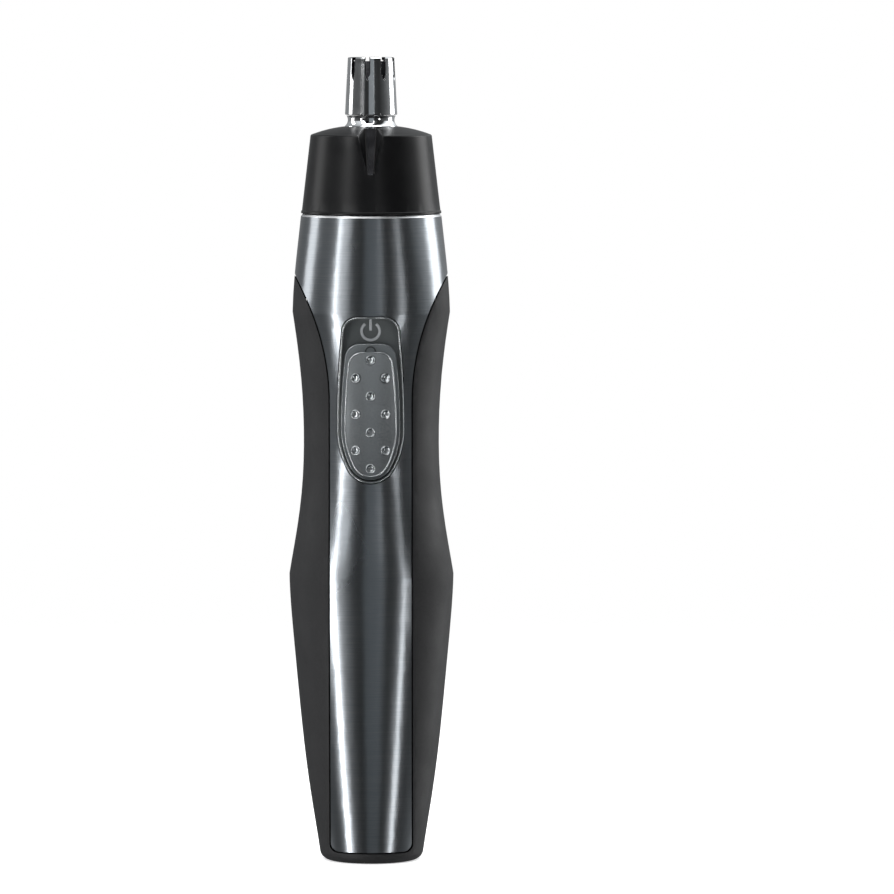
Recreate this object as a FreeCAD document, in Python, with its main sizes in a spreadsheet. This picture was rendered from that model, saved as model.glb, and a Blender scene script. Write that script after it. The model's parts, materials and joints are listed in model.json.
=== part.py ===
import FreeCAD, Part
import math
import os
import re

import Sketcher
from FreeCAD import Placement, Rotation, Vector

# A battery-powered nose hair trimmer, standing on its base.
# Origin: centre of the flat base. +Z up through the cutter, -Y the front with the switch.
# Lengths are millimetres. "width" and "depth" at a station are half sizes in X and in Y.

# Handle outline: (height, half width, half depth). It has a crease at the belly and one at the shoulder.
STATIONS = [
    (0.0, 8.5, 8.3), (9.3, 9.95, 9.6), (19.5, 11.34, 10.7), (29.6, 12.35, 11.4),
    (39.8, 13.28, 11.8), (48.3, 13.79, 12.0), (53.3, 12.94, 11.9), (60.1, 11.93, 11.5),
    (70.0, 11.34, 11.2), (78.7, 11.59, 11.3), (87.1, 12.44, 11.6), (92.3, 13.2, 11.8),
    (97.3, 12.94, 11.8), (103.0, 12.38, 11.79), (108.35, 11.78, 11.78),
]
BELLY = 5
SHOULDER = 11
SPANS = [(0, BELLY), (BELLY, SHOULDER), (SHOULDER, len(STATIONS) - 1)]

DIMENSIONS = {
    # skins of the handle
    "skin": 0.85, "skin_gap": 0.15, "grip_floor": 1.2, "base_round": 1.7, "seam_gap": 0.24,
    "lip_height": 0.35, "lip_radius": 11.5, "far": 20.0,
    # steel panels between the grips
    "front_half": 6.9, "rear_half": 8.0, "panel_bottom": 1.9, "panel_corner": 1.4,
    "flare_start": 77.6, "flare_top": 99.4, "front_flare": 40.0, "rear_flare": 48.1,
    # switch recess and slider outlines
    "recess_width": 5.6, "recess_widest": 73.3, "recess_nose": 64.2, "recess_nose_radius": 4.4,
    "recess_shoulder": 4.85, "recess_top": 91.95, "recess_corner": 2.6,
    "recess_floor": 9.9, "recess_back": 9.1, "recess_rim": 0.35,
    "slider_width": 4.9, "slider_widest": 73.3, "slider_nose": 64.75, "slider_nose_radius": 3.7,
    "slider_shoulder": 4.3, "slider_top": 87.45, "slider_corner": 2.5,
    "slider_lift": 0.1, "skirt_thickness": 0.6, "plateau_inset": 0.55, "plateau_drop": 0.75,
    "slider_proud": 0.75, "slot_half": 1.45, "slot_low": 74.0, "slot_high": 83.5,
    "stem_half": 1.2, "stem_low": 74.3, "stem_high": 79.5, "dimple_radius": 0.75, "dimple_depth": 0.35,
    "dimple_low": 66.75, "dimple_pitch": 6.03, "dimple_x": 2.5, "dimple_ball": 1.4,
    # inner chassis
    "chassis_wall": 1.0, "chassis_top": 101.5, "split": 1.5, "split_gap": 0.05, "rib": 1.2,
    "cradle_radius": 7.4, "bulkhead_low": 60.1, "deck_low": 100.1,
    "battery_rib": 16.0, "battery_rib_pitch": 14.0, "motor_rib_low": 80.5, "motor_rib_high": 94.0,
    "clearance": 0.15, "hole_slack": 0.03, "way_margin": 0.3, "lead_way": 0.6,
    "bay_half": 7.5, "bay_low": 8.4, "bay_high": 59.9,
    "screw_x": 6.9, "screw_high": 67.6, "boss_radius": 1.7, "screw_shank": 0.65, "screw_head": 1.3,
    "screw_head_height": 0.8, "screw_length": 9.0, "screw_seat": 4.2, "screw_slot": 0.3,
    # battery door
    "door_low": 4.8, "door_high": 62.6, "door_corner": 1.6, "door_slack": 0.35, "latch_corner": 0.5,
    "tab_x": 4.0, "tab_half": 0.8, "tab_inner": 5.4, "tab_outer": 7.6, "tab_hook": 6.1,
    "tab_low": 3.6, "tab_high": 6.4, "latch_half": 2.0, "latch_low": 61.7, "latch_high": 62.4,
    "latch_inner": 8.9, "latch_outer": 10.9,
    # AA cell and its contacts
    "cell_radius": 7.15, "cell_low": 9.0, "cell_high": 58.3, "nub_radius": 2.6, "nub_top": 59.3,
    "cell_shoulder": 0.5, "nub_flange": 4.0, "nub_step": 0.2, "wrap": 0.12, "wrap_margin": 0.8,
    "contact_plate": 0.4, "contact_half": 3.0,
    "spring_wire": 0.35, "spring_foot": 4.4, "spring_low": 3.5, "spring_cone": -22.0,
    "spring_pitch": 1.35, "strip_half": 1.2,
    "strip_outer": 7.38, "strip_inner": 7.2, "strip_top": 64.0,
    # circuit
    "board_half": 5.0, "board_front": 7.4, "board_back": 6.4, "board_low": 62.5, "board_high": 91.0,
    "coil_radius": 2.1, "coil_depth": 2.6, "coil_x": 2.4, "coil_z": 69.4,
    "chip_x": -2.6, "chip_z": 71.2, "chip_half": 1.4, "chip_depth": 0.8,
    "can_radius": 1.6, "can_depth": 3.6, "can_x": -2.4, "can_z": 66.0,
    "pad_depth": 0.15, "pad_half": 0.8, "pad_x": 1.8,
    "pad_low": 72.5, "pad_gap_low": 76.5, "pad_gap_high": 77.5, "pad_high": 85.5, "carriage_half": 3.4,
    "carriage_back": 8.2,
    "wiper_back": 7.85,
    # motor
    "motor_radius": 7.75, "motor_flat": 6.0, "motor_low": 76.4, "motor_high": 99.4, "motor_wall": 0.6,
    "boss_top": 101.0, "motor_boss": 3.0, "cap_low": 74.4, "shaft_radius": 1.0, "shaft_low": 73.6,
    "shaft_high": 105.1, "bearing_gap": 0.05, "bearing_radius": 1.8, "core_radius": 4.9,
    "core_low": 82.0, "core_high": 94.0, "shoe": 0.7, "arm_half": 0.7, "hub_radius": 2.0,
    "slot_gap_half": 0.8, "coil_inner": 2.1, "coil_outer": 3.3, "coil_half": 1.9, "coil_over": 1.3,
    "magnet_inner": 5.25, "magnet_low": 80.0, "magnet_high": 96.0, "magnet_half": 4.4, "magnet_side": 2.9,
    "commutator_radius": 2.0, "commutator_low": 77.4, "commutator_high": 80.2, "brush_gap": 0.1,
    "brush_out": 1.6, "brush_half": 0.6, "blade_x": 4.8, "blade_half": 0.9, "blade_low": 72.2,
    "blade_thick": 0.2, "lead_radius": 0.45, "damper_inner": 3.4, "damper_outer": 5.8, "leg_near": 1.6,
    "leg_far": 2.6,
    # head socket, lamp and coupling
    "socket_low": 101.7, "socket_floor": 103.2, "socket_top": 108.3, "socket_radius": 10.65,
    "socket_bore": 9.4, "socket_hole": 1.8, "socket_screw_x": 7.6, "socket_screw_tip": 100.4,
    "lamp_y": -6.2, "lamp_radius": 1.5, "lamp_dome": 106.4, "lamp_flange": 1.75, "lamp_flange_top": 104.0,
    "wire_x": 0.8, "wire_half": 0.17, "wire_bottom": 86.0,
    "coupling_radius": 2.4, "coupling_low": 103.6, "coupling_web": 105.2, "coupling_high": 107.6,
    "socket_square": 1.17, "shank_square": 1.05, "shank_low": 105.4,
    # cutting head
    "head_low": 108.85, "head_radius": 11.75, "head_lip": 109.2, "head_lip_radius": 11.6,
    "head_shoulder": 121.7, "head_shoulder_radius": 10.17, "shoulder_round": 0.4,
    "head_crown": 122.05, "head_crown_radius": 9.85, "head_top": 123.35, "dome_arc": 22.0,
    "neck_hole": 4.45, "neck_seat": 122.4, "head_bore": 10.3, "head_inner_z": 112.0,
    "roof_radius": 9.0, "roof_z": 120.4, "hub_out": 4.1, "hub_in": 3.3, "hub_low": 113.4,
    "ring_bore": 8.1, "ring_radius": 9.1, "ring_low": 105.0, "ring_flange": 10.2, "ring_top": 110.4,
    "groove_radius": 8.45, "groove_low": 106.2, "groove_high": 107.2, "seal_radius": 8.92,
    "seal_section": 0.43, "collar_radius": 4.38, "collar_foot": 123.42, "collar_top": 125.15,
    "collar_top_radius": 4.12, "collar_arc": 1.3,
    "barrel_low": 123.0, "barrel_spigot": 3.22, "barrel_bore": 2.75, "barrel_step": 125.3,
    "barrel_foot": 4.37, "barrel_rim": 3.9, "barrel_top": 134.9, "rim_bevel": 0.15, "rim_bore": 2.9,
    "rim_depth": 0.5, "bore_low": 3.74, "bore_high": 3.4, "barrel_floor": 126.0,
    "tooth_slot": 0.47, "tooth_depth": 2.75, "tooth_vee": 1.2, "tooth_count": 9, "tooth_turn": -8.0,
    "rotor_radius": 3.25, "rotor_low": 126.3, "rotor_disc": 127.1, "rotor_top": 134.25,
    "rotor_hub": 1.1, "fin_half": 0.3, "fin_count": 4,
    "spindle_radius": 0.8, "spindle_gap": 0.06, "spindle_top": 129.0, "flange_radius": 2.3,
    "flange_low": 108.9, "flange_top": 109.5, "bushing_low": 113.6, "bushing_high": 118.6,
    "clip_low": 113.0, "clip_high": 113.35, "clip_radius": 2.0, "clip_mouth": 0.5,
    "coil_spring_radius": 1.7, "coil_spring_wire": 0.3, "coil_spring_low": 109.75,
    "coil_spring_high": 112.7, "coil_spring_pitch": 1.0,
    # light chute in the head: top and bottom sections of the cut, its walls and its window
    "chute_top": 124.0, "chute_bottom": 115.5, "chute_front": 12.5, "chute_wall": 0.8,
    "chute_back_top": 5.3, "chute_back_bottom": 11.0, "chute_half_top": 1.1, "chute_half_bottom": 0.55,
    "chute_mouth_top": 3.8, "chute_mouth_bottom": 0.8, "window_half_top": 0.85, "window_half_bottom": 0.42,
}

doc = FreeCAD.newDocument("NoseHairTrimmer")
sheet = doc.addObject("Spreadsheet::Sheet", "Dims")
nodes = []


def fill_sheet():
    """Write every driving dimension to a row of the sheet, with its name as the alias."""
    rows = dict(DIMENSIONS)
    for index, (height, width, depth) in enumerate(STATIONS):
        rows[f"station_{index}_height"] = height
        rows[f"station_{index}_width"] = width
        rows[f"station_{index}_depth"] = depth
    for row, (alias, size) in enumerate(rows.items(), start=1):
        sheet.set(f"A{row}", alias)
        sheet.set(f"B{row}", str(size))
        sheet.setAlias(f"B{row}", alias)
    doc.recompute()
    return set(rows)


ALIASES = fill_sheet()


def bound(formula):
    """Turn a formula over dimension names into an expression on the sheet."""
    def name(match):
        word = match.group()
        return f"Dims.{word}" if word in ALIASES else word
    return re.sub(r"[a-z][a-z0-9_]*", name, str(formula))


def value(formula):
    return float(sheet.evalExpression(bound(formula)))


def bind(thing, **formulas):
    """Bind properties to the sheet; __ in a keyword stands for a dot."""
    for key, formula in formulas.items():
        thing.setExpression(key.replace("__", "."), bound(formula))


def keep(thing, label):
    """Mark an object as a finished sub-part."""
    thing.Label = label
    nodes.append(thing)
    return thing


# ---- Part workbench helpers -------------------------------------------------------------------

def block(name, x, y, z, turn=0):
    """A box between two formulas on each axis, turned by some degrees about Z."""
    box = doc.addObject("Part::Box", name)
    bind(box, Length=f"({x[1]}) - ({x[0]})", Width=f"({y[1]}) - ({y[0]})", Height=f"({z[1]}) - ({z[0]})")
    across, along = math.cos(math.radians(turn)), math.sin(math.radians(turn))
    box.Placement = Placement(Vector(), Rotation(Vector(0, 0, 1), turn))
    bind(box, Placement__Base__x=f"({x[0]}) * {across} - ({y[0]}) * {along}",
         Placement__Base__y=f"({x[0]}) * {along} + ({y[0]}) * {across}", Placement__Base__z=z[0])
    return box


def drum(name, radius, low, high, x="0", y="0"):
    """An upright cylinder."""
    cylinder = doc.addObject("Part::Cylinder", name)
    bind(cylinder, Radius=radius, Height=f"({high}) - ({low})",
         Placement__Base__x=x, Placement__Base__y=y, Placement__Base__z=low)
    return cylinder


def bar(name, radius, front, back, x, z):
    """A cylinder along Y, from front to back."""
    cylinder = doc.addObject("Part::Cylinder", name)
    cylinder.Placement = Placement(Vector(), Rotation(Vector(1, 0, 0), -90))
    bind(cylinder, Radius=radius, Height=f"({back}) - ({front})",
         Placement__Base__x=x, Placement__Base__y=front, Placement__Base__z=z)
    return cylinder


def fuse(name, *parts):
    if len(parts) == 1:
        return parts[0]
    union = doc.addObject("Part::MultiFuse", name)
    union.Shapes = list(parts)
    return union


def common(name, *parts):
    overlap = doc.addObject("Part::MultiCommon", name)
    overlap.Shapes = list(parts)
    return overlap


def cut(name, base, *tools):
    remainder = doc.addObject("Part::Cut", name)
    remainder.Base = base
    remainder.Tool = fuse(f"{name}_tools", *tools)
    return remainder


def tube(name, outer, inner, low, high):
    return cut(name, drum(f"{name}_outer", outer, low, high), drum(f"{name}_inner", inner, low, high))


# ---- sketch helpers ---------------------------------------------------------------------------

def arc_between(start, end, radius):
    """The minor arc from start to end: a positive radius turns left, a negative one right."""
    chord = end - start
    half = chord.Length / 2
    side = math.copysign(math.sqrt(max(radius * radius - half * half, 0)), radius)
    centre = (start + end) * 0.5 + Vector(-chord.y, chord.x, 0).normalize() * side
    first, last = (start, end) if radius > 0 else (end, start)
    angles = [math.atan2(point.y - centre.y, point.x - centre.x) for point in (first, last)]
    if angles[1] < angles[0]:
        angles[1] += 2 * math.pi
    return Part.ArcOfCircle(Part.Circle(centre, Vector(0, 0, 1), abs(radius)), *angles)


def draw(sketch, outline):
    """Draw a closed loop through corners (across, up) or (across, up, radius of the arc that leaves)."""
    corners = [Vector(value(corner[0]), value(corner[1]), 0) for corner in outline]
    count = len(outline)
    first = sketch.GeometryCount
    starts, ends = [], []
    for index, corner in enumerate(outline):
        begin, finish = corners[index], corners[(index + 1) % count]
        turns = len(corner) == 3
        radius = value(corner[2]) if turns else 0
        edge = arc_between(begin, finish, radius) if turns else Part.LineSegment(begin, finish)
        sketch.addGeometry(edge)
        starts.append((first + index, 2 if radius < 0 else 1))
        ends.append((first + index, 1 if radius < 0 else 2))
    for index in range(count):
        sketch.addConstraint(Sketcher.Constraint("Coincident", *ends[index], *starts[(index + 1) % count]))
    for index, corner in enumerate(outline):
        for kind, formula in (("DistanceX", corner[0]), ("DistanceY", corner[1])):
            number = sketch.addConstraint(
                Sketcher.Constraint(kind, -1, 1, *starts[index], value(formula)))
            sketch.setExpression(f"Constraints[{number}]", bound(formula))
        if len(corner) == 3:
            number = sketch.addConstraint(
                Sketcher.Constraint("Radius", first + index, abs(value(corner[2]))))
            sketch.setExpression(f"Constraints[{number}]", bound(f"abs({corner[2]})"))


def mirrored(right, below=None):
    """Close a right-hand side, listed from bottom to top, with its mirror image across X = 0."""
    outline = list(right)
    for index in reversed(range(len(right))):
        across, up = right[index][:2]
        if index:
            leaving = right[index - 1][2:]
        else:
            leaving = (below,) if below else ()
        outline.append((f"-({across})", up, *leaving))
    return outline


def upright_sketch(name, outline):
    """A free sketch in the XZ plane."""
    sketch = doc.addObject("Sketcher::SketchObject", name)
    sketch.Placement = Placement(Vector(), Rotation(Vector(1, 0, 0), 90))
    draw(sketch, outline)
    return sketch


def prism(name, outline, front, back):
    """An XZ outline extruded along Y from front to back."""
    sketch = upright_sketch(f"{name}_sketch", outline)
    bind(sketch, Placement__Base__y=front)
    solid = doc.addObject("Part::Extrusion", name)
    solid.Base = sketch
    solid.DirMode = "Custom"
    solid.Dir = Vector(0, 1, 0)
    solid.Solid = True
    bind(solid, LengthFwd=f"({back}) - ({front})")
    return solid


def origin_plane(body, role):
    return next(item for item in body.Origin.OriginFeatures if item.Role == role)


def body_sketch(body, name, outlines, role, offset="0"):
    sketch = body.newObject("Sketcher::SketchObject", name)
    sketch.AttachmentSupport = [(origin_plane(body, role), "")]
    sketch.MapMode = "FlatFace"
    bind(sketch, AttachmentOffset__Base__z=offset)
    for outline in outlines:
        draw(sketch, outline)
    return sketch


def turned(name, *outlines):
    """A PartDesign body turned about Z from outlines of (radius, height)."""
    body = doc.addObject("PartDesign::Body", name)
    sketch = body_sketch(body, f"{name}_profile", outlines, "XZ_Plane")
    revolution = body.newObject("PartDesign::Revolution", f"{name}_turn")
    revolution.Profile = sketch
    revolution.ReferenceAxis = (sketch, ["V_Axis"])
    revolution.Angle = 360
    return body


def pad(body, name, outlines, low, high):
    """Add a pad between two heights to a PartDesign body."""
    sketch = body_sketch(body, f"{name}_sketch", outlines, "XY_Plane", low)
    feature = body.newObject("PartDesign::Pad", name)
    feature.Profile = sketch
    bind(feature, Length=f"({high}) - ({low})")
    return feature


def polar(body, feature, count):
    """Repeat a feature round Z and make the pattern the body's tip."""
    pattern = body.newObject("PartDesign::PolarPattern", f"{feature.Name}_pattern")
    pattern.Originals = [feature]
    pattern.Axis = (origin_plane(body, "Z_Axis"), [""])
    pattern.Angle = 360
    bind(pattern, Occurrences=count)
    body.Tip = pattern
    return pattern


def rectangle(x, y):
    return [(x[0], y[0]), (x[1], y[0]), (x[1], y[1]), (x[0], y[1])]


def ring_profile(inner, outer, low, high):
    return rectangle((inner, outer), (low, high))


def spring(name, wire, radius, pitch, low, high, cone=0.0):
    """A coil spring of round wire, standing on low."""
    helix = doc.addObject("Part::Helix", f"{name}_path")
    bind(helix, Radius=radius, Pitch=pitch, Height=f"({high}) - ({low})", Placement__Base__z=low)
    helix.Angle = cone
    section = doc.addObject("Part::Circle", f"{name}_section")
    section.Placement = Placement(Vector(), Rotation(Vector(1, 0, 0), 90))
    bind(section, Radius=wire, Placement__Base__x=radius, Placement__Base__z=low)
    sweep = doc.addObject("Part::Sweep", name)
    sweep.Sections = [section]
    sweep.Spine = (helix, ["Edge1"])
    sweep.Solid = True
    sweep.Frenet = True
    return sweep


# ---- shared forms -----------------------------------------------------------------------------

def handle_form(name, inset, floor="0"):
    """The handle's outline drawn in by inset, as one loft between each pair of creases."""
    lofts = []
    for low, high in SPANS:
        rings = []
        for station in range(low, high + 1):
            ring = doc.addObject("Part::Ellipse", f"{name}_ring_{low}_{station}")
            bind(ring, MajorRadius=f"station_{station}_width - ({inset})",
                 MinorRadius=f"station_{station}_depth - ({inset})",
                 Placement__Base__z=f"station_{station}_height" if station else floor)
            rings.append(ring)
        loft = doc.addObject("Part::Loft", f"{name}_loft_{low}")
        loft.Sections = rings
        loft.Solid = True
        lofts.append(loft)
    return fuse(name, *lofts)


def outer_skin_form():
    """The closed outside of the handle: lofts, bevelled lip and rounded base edge."""
    top = len(STATIONS) - 1
    lip = doc.addObject("Part::Cone", "lip")
    bind(lip, Radius1=f"station_{top}_width", Radius2="lip_radius", Height="lip_height",
         Placement__Base__z=f"station_{top}_height")
    blank = fuse("outer_blank", handle_form("outer_lofts", "0"), lip)
    doc.recompute()
    rounded = doc.addObject("Part::Fillet", "outer_form")
    rounded.Base = blank
    radius = value("base_round")
    rounded.Edges = [(index, radius, radius) for index, edge in enumerate(blank.Shape.Edges, start=1)
                     if edge.BoundBox.ZMax < 0.01]
    return rounded


def panel_outline(half, flare, low, corner, margin):
    """A steel panel: straight sides that flare out to the shoulder, wider than the handle above."""
    radius = f"({flare} - ({margin}))"
    side = f"({half} + ({margin}))"
    bottom = f"({low} - ({margin}))"
    reach = f"{half} + {flare} - sqrt({radius}^2 - (flare_top - flare_start)^2)"
    return mirrored([
        (f"{side} - {corner}", bottom, corner),
        (side, f"{bottom} + {corner}"),
        (side, "flare_start", f"-{radius}"),
        (reach, "flare_top"),
        ("far", "flare_top"),
        ("far", "station_14_height + far"),
    ])


def panel_region(name, margin, rear_low, rear_corner):
    """The space inside the front panel's outline in front and inside the rear one's behind."""
    front = panel_outline("front_half", "front_flare", "panel_bottom", "panel_corner", margin)
    rear = panel_outline("rear_half", "rear_flare", rear_low, rear_corner, margin)
    return fuse(name, prism(f"{name}_front", front, "-far", "0"), prism(f"{name}_rear", rear, "0", "far"))


def badge_outline(which, inset, drop="0"):
    """The rounded shield of the switch: a round nose, bowed sides and a straight top."""
    width, widest = f"({which}_width - ({inset}))", f"{which}_widest"
    nose_radius = f"({which}_nose_radius - ({inset}))"
    rise = f"({widest} - {which}_nose - {which}_nose_radius)"
    bow = f"(({rise}^2 + {width}^2 - {nose_radius}^2) / (2 * ({width} - {nose_radius})))"
    top = f"({which}_top - ({inset}) - ({drop}))"
    corner = f"({which}_corner - ({inset}) / 2)"
    shoulder = f"({which}_shoulder - ({inset}))"
    side = f"((({top} - {corner} - {widest})^2 + ({width} - {shoulder})^2) / (2 * ({width} - {shoulder})))"
    return mirrored([
        (f"{width} - {bow} + {bow} * ({bow} - {width}) / ({bow} - {nose_radius})",
         f"{widest} - {bow} * {rise} / ({bow} - {nose_radius})", bow),
        (width, widest, side),
        (shoulder, f"{top} - {corner}", corner),
        (f"{shoulder} - {corner}", top),
    ], below=nose_radius)


# ---- handle skins -----------------------------------------------------------------------------

def make_skins():
    outer = outer_skin_form()
    hollow = handle_form("skin_hollow", "skin", "grip_floor")
    top = len(STATIONS) - 1
    throat = drum("throat", f"station_{top}_width - skin", f"station_{top}_height - 0.01",
                  f"station_{top}_height + lip_height + 1")
    skin = cut("skin_shell", outer, hollow, throat)
    window = prism("switch_window", badge_outline("recess", "-seam_gap / 2"), "-far", "-recess_back")
    steel = panel_region("steel_area", "-seam_gap / 2", "door_high + door_slack / 2", "latch_corner")
    keep(cut("steel_sleeve_cut", common("steel_blank", skin, steel), window), "steel_sleeve")
    opening = panel_region("grip_opening", "seam_gap / 2", "door_low - door_slack", "door_corner")
    keep(cut("soft_grip_cut", skin, opening), "soft_grip")
    return outer, skin


def door_outline():
    """The battery door seen from behind."""
    side = "(rear_half - door_slack)"
    return mirrored([
        (f"{side} - door_corner", "door_low", "door_corner"),
        (side, "door_low + door_corner"),
        (side, "door_high - latch_corner", "latch_corner"),
        (f"{side} - latch_corner", "door_high"),
    ])


def make_door(skin):
    """The door is a piece of the skin with two hooked tabs below and a latch above."""
    plate = common("door_plate", skin, prism("door_area", door_outline(), "0", "far"))
    pieces = [plate, block("door_latch", ("-latch_half", "latch_half"), ("latch_inner", "latch_outer"),
                           ("latch_low", "latch_high"))]
    for side in (-1, 1):
        across = (f"{side} * tab_x - tab_half", f"{side} * tab_x + tab_half")
        pieces.append(block("door_tab_root", across, ("tab_inner", "tab_outer"),
                            ("door_low + 0.1", "tab_high")))
        pieces.append(block("door_tab_hook", across, ("tab_inner", "tab_hook"), ("tab_low", "tab_high")))
    keep(fuse("battery_door_fuse", *pieces), "battery_door")


# ---- inner chassis ----------------------------------------------------------------------------

def rib_plate(name, low, thickness="rib"):
    return block(name, ("-far", "far"), ("-far", "far"), (low, f"{low} + {thickness}"))


def motor_space(name, margin, low, high):
    """The motor's section, a circle with two flats, with a margin round it."""
    return common(name, drum(f"{name}_round", f"motor_radius + ({margin})", low, high),
                  block(f"{name}_flats", ("-far", "far"),
                        (f"-motor_flat - ({margin})", f"motor_flat + ({margin})"),
                        (low, high)))


def chassis_outline(inset, floor):
    """A round tube that follows the handle's depth, closed below at floor and open at the top."""
    rim = next(index for index, station in enumerate(STATIONS) if station[0] > DIMENSIONS["chassis_top"])
    rows = [(f"station_{index}_depth - ({inset})", f"station_{index}_height") for index in range(1, rim)]
    return [("0", floor), (f"station_0_depth - ({inset})", floor), *rows,
            (f"station_{rim}_depth - ({inset})", "chassis_top"), ("0", "chassis_top")]


def make_chassis():
    inset = "skin + skin_gap"
    form = turned("chassis_form", chassis_outline(inset, "grip_floor + skin_gap"))
    hollow = turned("chassis_hollow", chassis_outline(f"{inset} + chassis_wall",
                                                      "grip_floor + skin_gap + chassis_wall"))
    shell = cut("chassis_shell", form, hollow)
    heights = [f"battery_rib + {step} * battery_rib_pitch" for step in range(3)]
    heights += ["bulkhead_low", "motor_rib_low", "motor_rib_high", "deck_low"]
    ribs = [rib_plate(f"rib_{index}", height) for index, height in enumerate(heights)]
    bosses = [bar(f"boss_{side}", "boss_radius", "-far", "screw_seat", f"{side} * screw_x", "screw_high")
              for side in (-1, 1)]
    solid = fuse("chassis_solid", shell, common("chassis_ribs", fuse("rib_set", *ribs, *bosses), form))

    tools = [
        drum("battery_space", "cradle_radius", "grip_floor + skin_gap + chassis_wall", "bay_high"),
        block("battery_way", ("-bay_half", "bay_half"), ("0", "far"), ("bay_low", "bay_high")),
        motor_space("motor_way", "clearance", "bulkhead_low + rib", "deck_low"),
        drum("motor_boss_way", "motor_boss + way_margin", "deck_low", "chassis_top"),
        block("switch_way", ("-board_half - 1", "board_half + 1"), ("-far", "-board_back + 0.2"),
              ("bulkhead_low + rib", "recess_top + lead_way")),
        block("wire_way", ("-wire_x - lead_way", "wire_x + lead_way"), ("-board_front", "-motor_flat + 0.2"),
              ("recess_top", "chassis_top")),
        block("strip_way", ("-strip_half - way_margin", "strip_half + way_margin"),
              ("-strip_outer - 0.1", "-board_back + lead_way"),
              ("bay_low", "strip_top")),
        block("leg_way", ("-leg_far - 0.2", "-leg_near + 0.2"),
              ("-board_back - 0.2", "-board_back + lead_way"),
              ("bay_high", "strip_top")),
        block("latch_way", ("-latch_half - way_margin", "latch_half + way_margin"),
              ("latch_inner - 0.4", "far"),
              ("bulkhead_low + rib / 2", "latch_high + lead_way")),
    ]
    for side in (-1, 1):
        tools.append(block(f"tab_way_{side}", (f"{side} * tab_x - tab_half - way_margin",
                                               f"{side} * tab_x + tab_half + way_margin"),
                           ("tab_inner - 0.8", "far"), ("tab_low - 0.4", "bay_low")))
        tools.append(bar(f"screw_way_{side}", "screw_shank + hole_slack", "screw_seat - screw_length - 0.2",
                         "screw_seat", f"{side} * screw_x", "screw_high"))
        tools.append(bar(f"head_way_{side}", "screw_head + 0.2", "screw_seat", "far",
                         f"{side} * screw_x", "screw_high"))
        tools.append(drum(f"deck_screw_way_{side}", "screw_shank + hole_slack", "deck_low", "chassis_top",
                          x=f"{side} * socket_screw_x"))
    hollowed = cut("chassis_hollowed", solid, *tools)
    front = block("front_side", ("-far", "far"), ("-far", "split - split_gap"), ("0", "chassis_top"))
    rear = block("rear_side", ("-far", "far"), ("split + split_gap", "far"), ("0", "chassis_top"))
    keep(common("chassis_front_half", hollowed, front), "chassis_front")
    keep(common("chassis_rear_half", hollowed, rear), "chassis_rear")


def make_screws():
    """Two screws clamp the chassis halves from behind; two short ones hold the head socket down."""
    pieces = []
    for side in (-1, 1):
        across = f"{side} * screw_x"
        pieces.append(cut(f"screw_{side}",
                          fuse(f"screw_blank_{side}",
                               bar(f"screw_shank_{side}", "screw_shank", "screw_seat - screw_length",
                                   "screw_seat",
                                   across, "screw_high"),
                               bar(f"screw_head_{side}", "screw_head", "screw_seat",
                                   "screw_seat + screw_head_height",
                                   across, "screw_high")),
                          block(f"screw_slot_{side}", (f"{across} - screw_head", f"{across} + screw_head"),
                                ("screw_seat + screw_head_height / 2", "far"),
                                ("screw_high - screw_slot / 2", "screw_high + screw_slot / 2"))))
    keep(fuse("chassis_screw_pair", *pieces), "chassis_screws")

    pieces = []
    for side in (-1, 1):
        across = f"{side} * socket_screw_x"
        pieces.append(cut(f"deck_screw_{side}",
                          fuse(f"deck_screw_blank_{side}",
                               drum(f"deck_shank_{side}", "screw_shank", "socket_screw_tip",
                                    "socket_floor", x=across),
                               drum(f"deck_head_{side}", "screw_head", "socket_floor",
                                    "socket_floor + screw_head_height", x=across)),
                          block(f"deck_slot_{side}", (f"{across} - screw_slot / 2",
                                                      f"{across} + screw_slot / 2"),
                                ("-screw_head", "screw_head"),
                                ("socket_floor + screw_head_height / 2", "socket_floor + 1"))))
    keep(fuse("socket_screw_pair", *pieces), "socket_screws")


# ---- switch -----------------------------------------------------------------------------------

def make_bezel(outer):
    blank = common("bezel_blank", prism("bezel_area", badge_outline("recess", "0"), "-far",
                                        "-recess_back"), outer)
    well = prism("bezel_well", badge_outline("recess", "recess_rim"), "-far", "-recess_floor")
    slot = block("bezel_slot", ("-slot_half", "slot_half"), ("-far", "0"), ("slot_low", "slot_high"))
    keep(cut("switch_bezel_cut", blank, well, slot), "switch_bezel")


def dimple_places():
    """Grip dimples: a centre column of four and two side columns of three between them."""
    low, pitch, across = value("dimple_low"), value("dimple_pitch"), value("dimple_x")
    column = [(0, low + pitch * step) for step in range(4)]
    sides = [(side * across, low + pitch * (step + 0.5)) for side in (-1, 1) for step in range(3)]
    return column + sides


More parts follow.
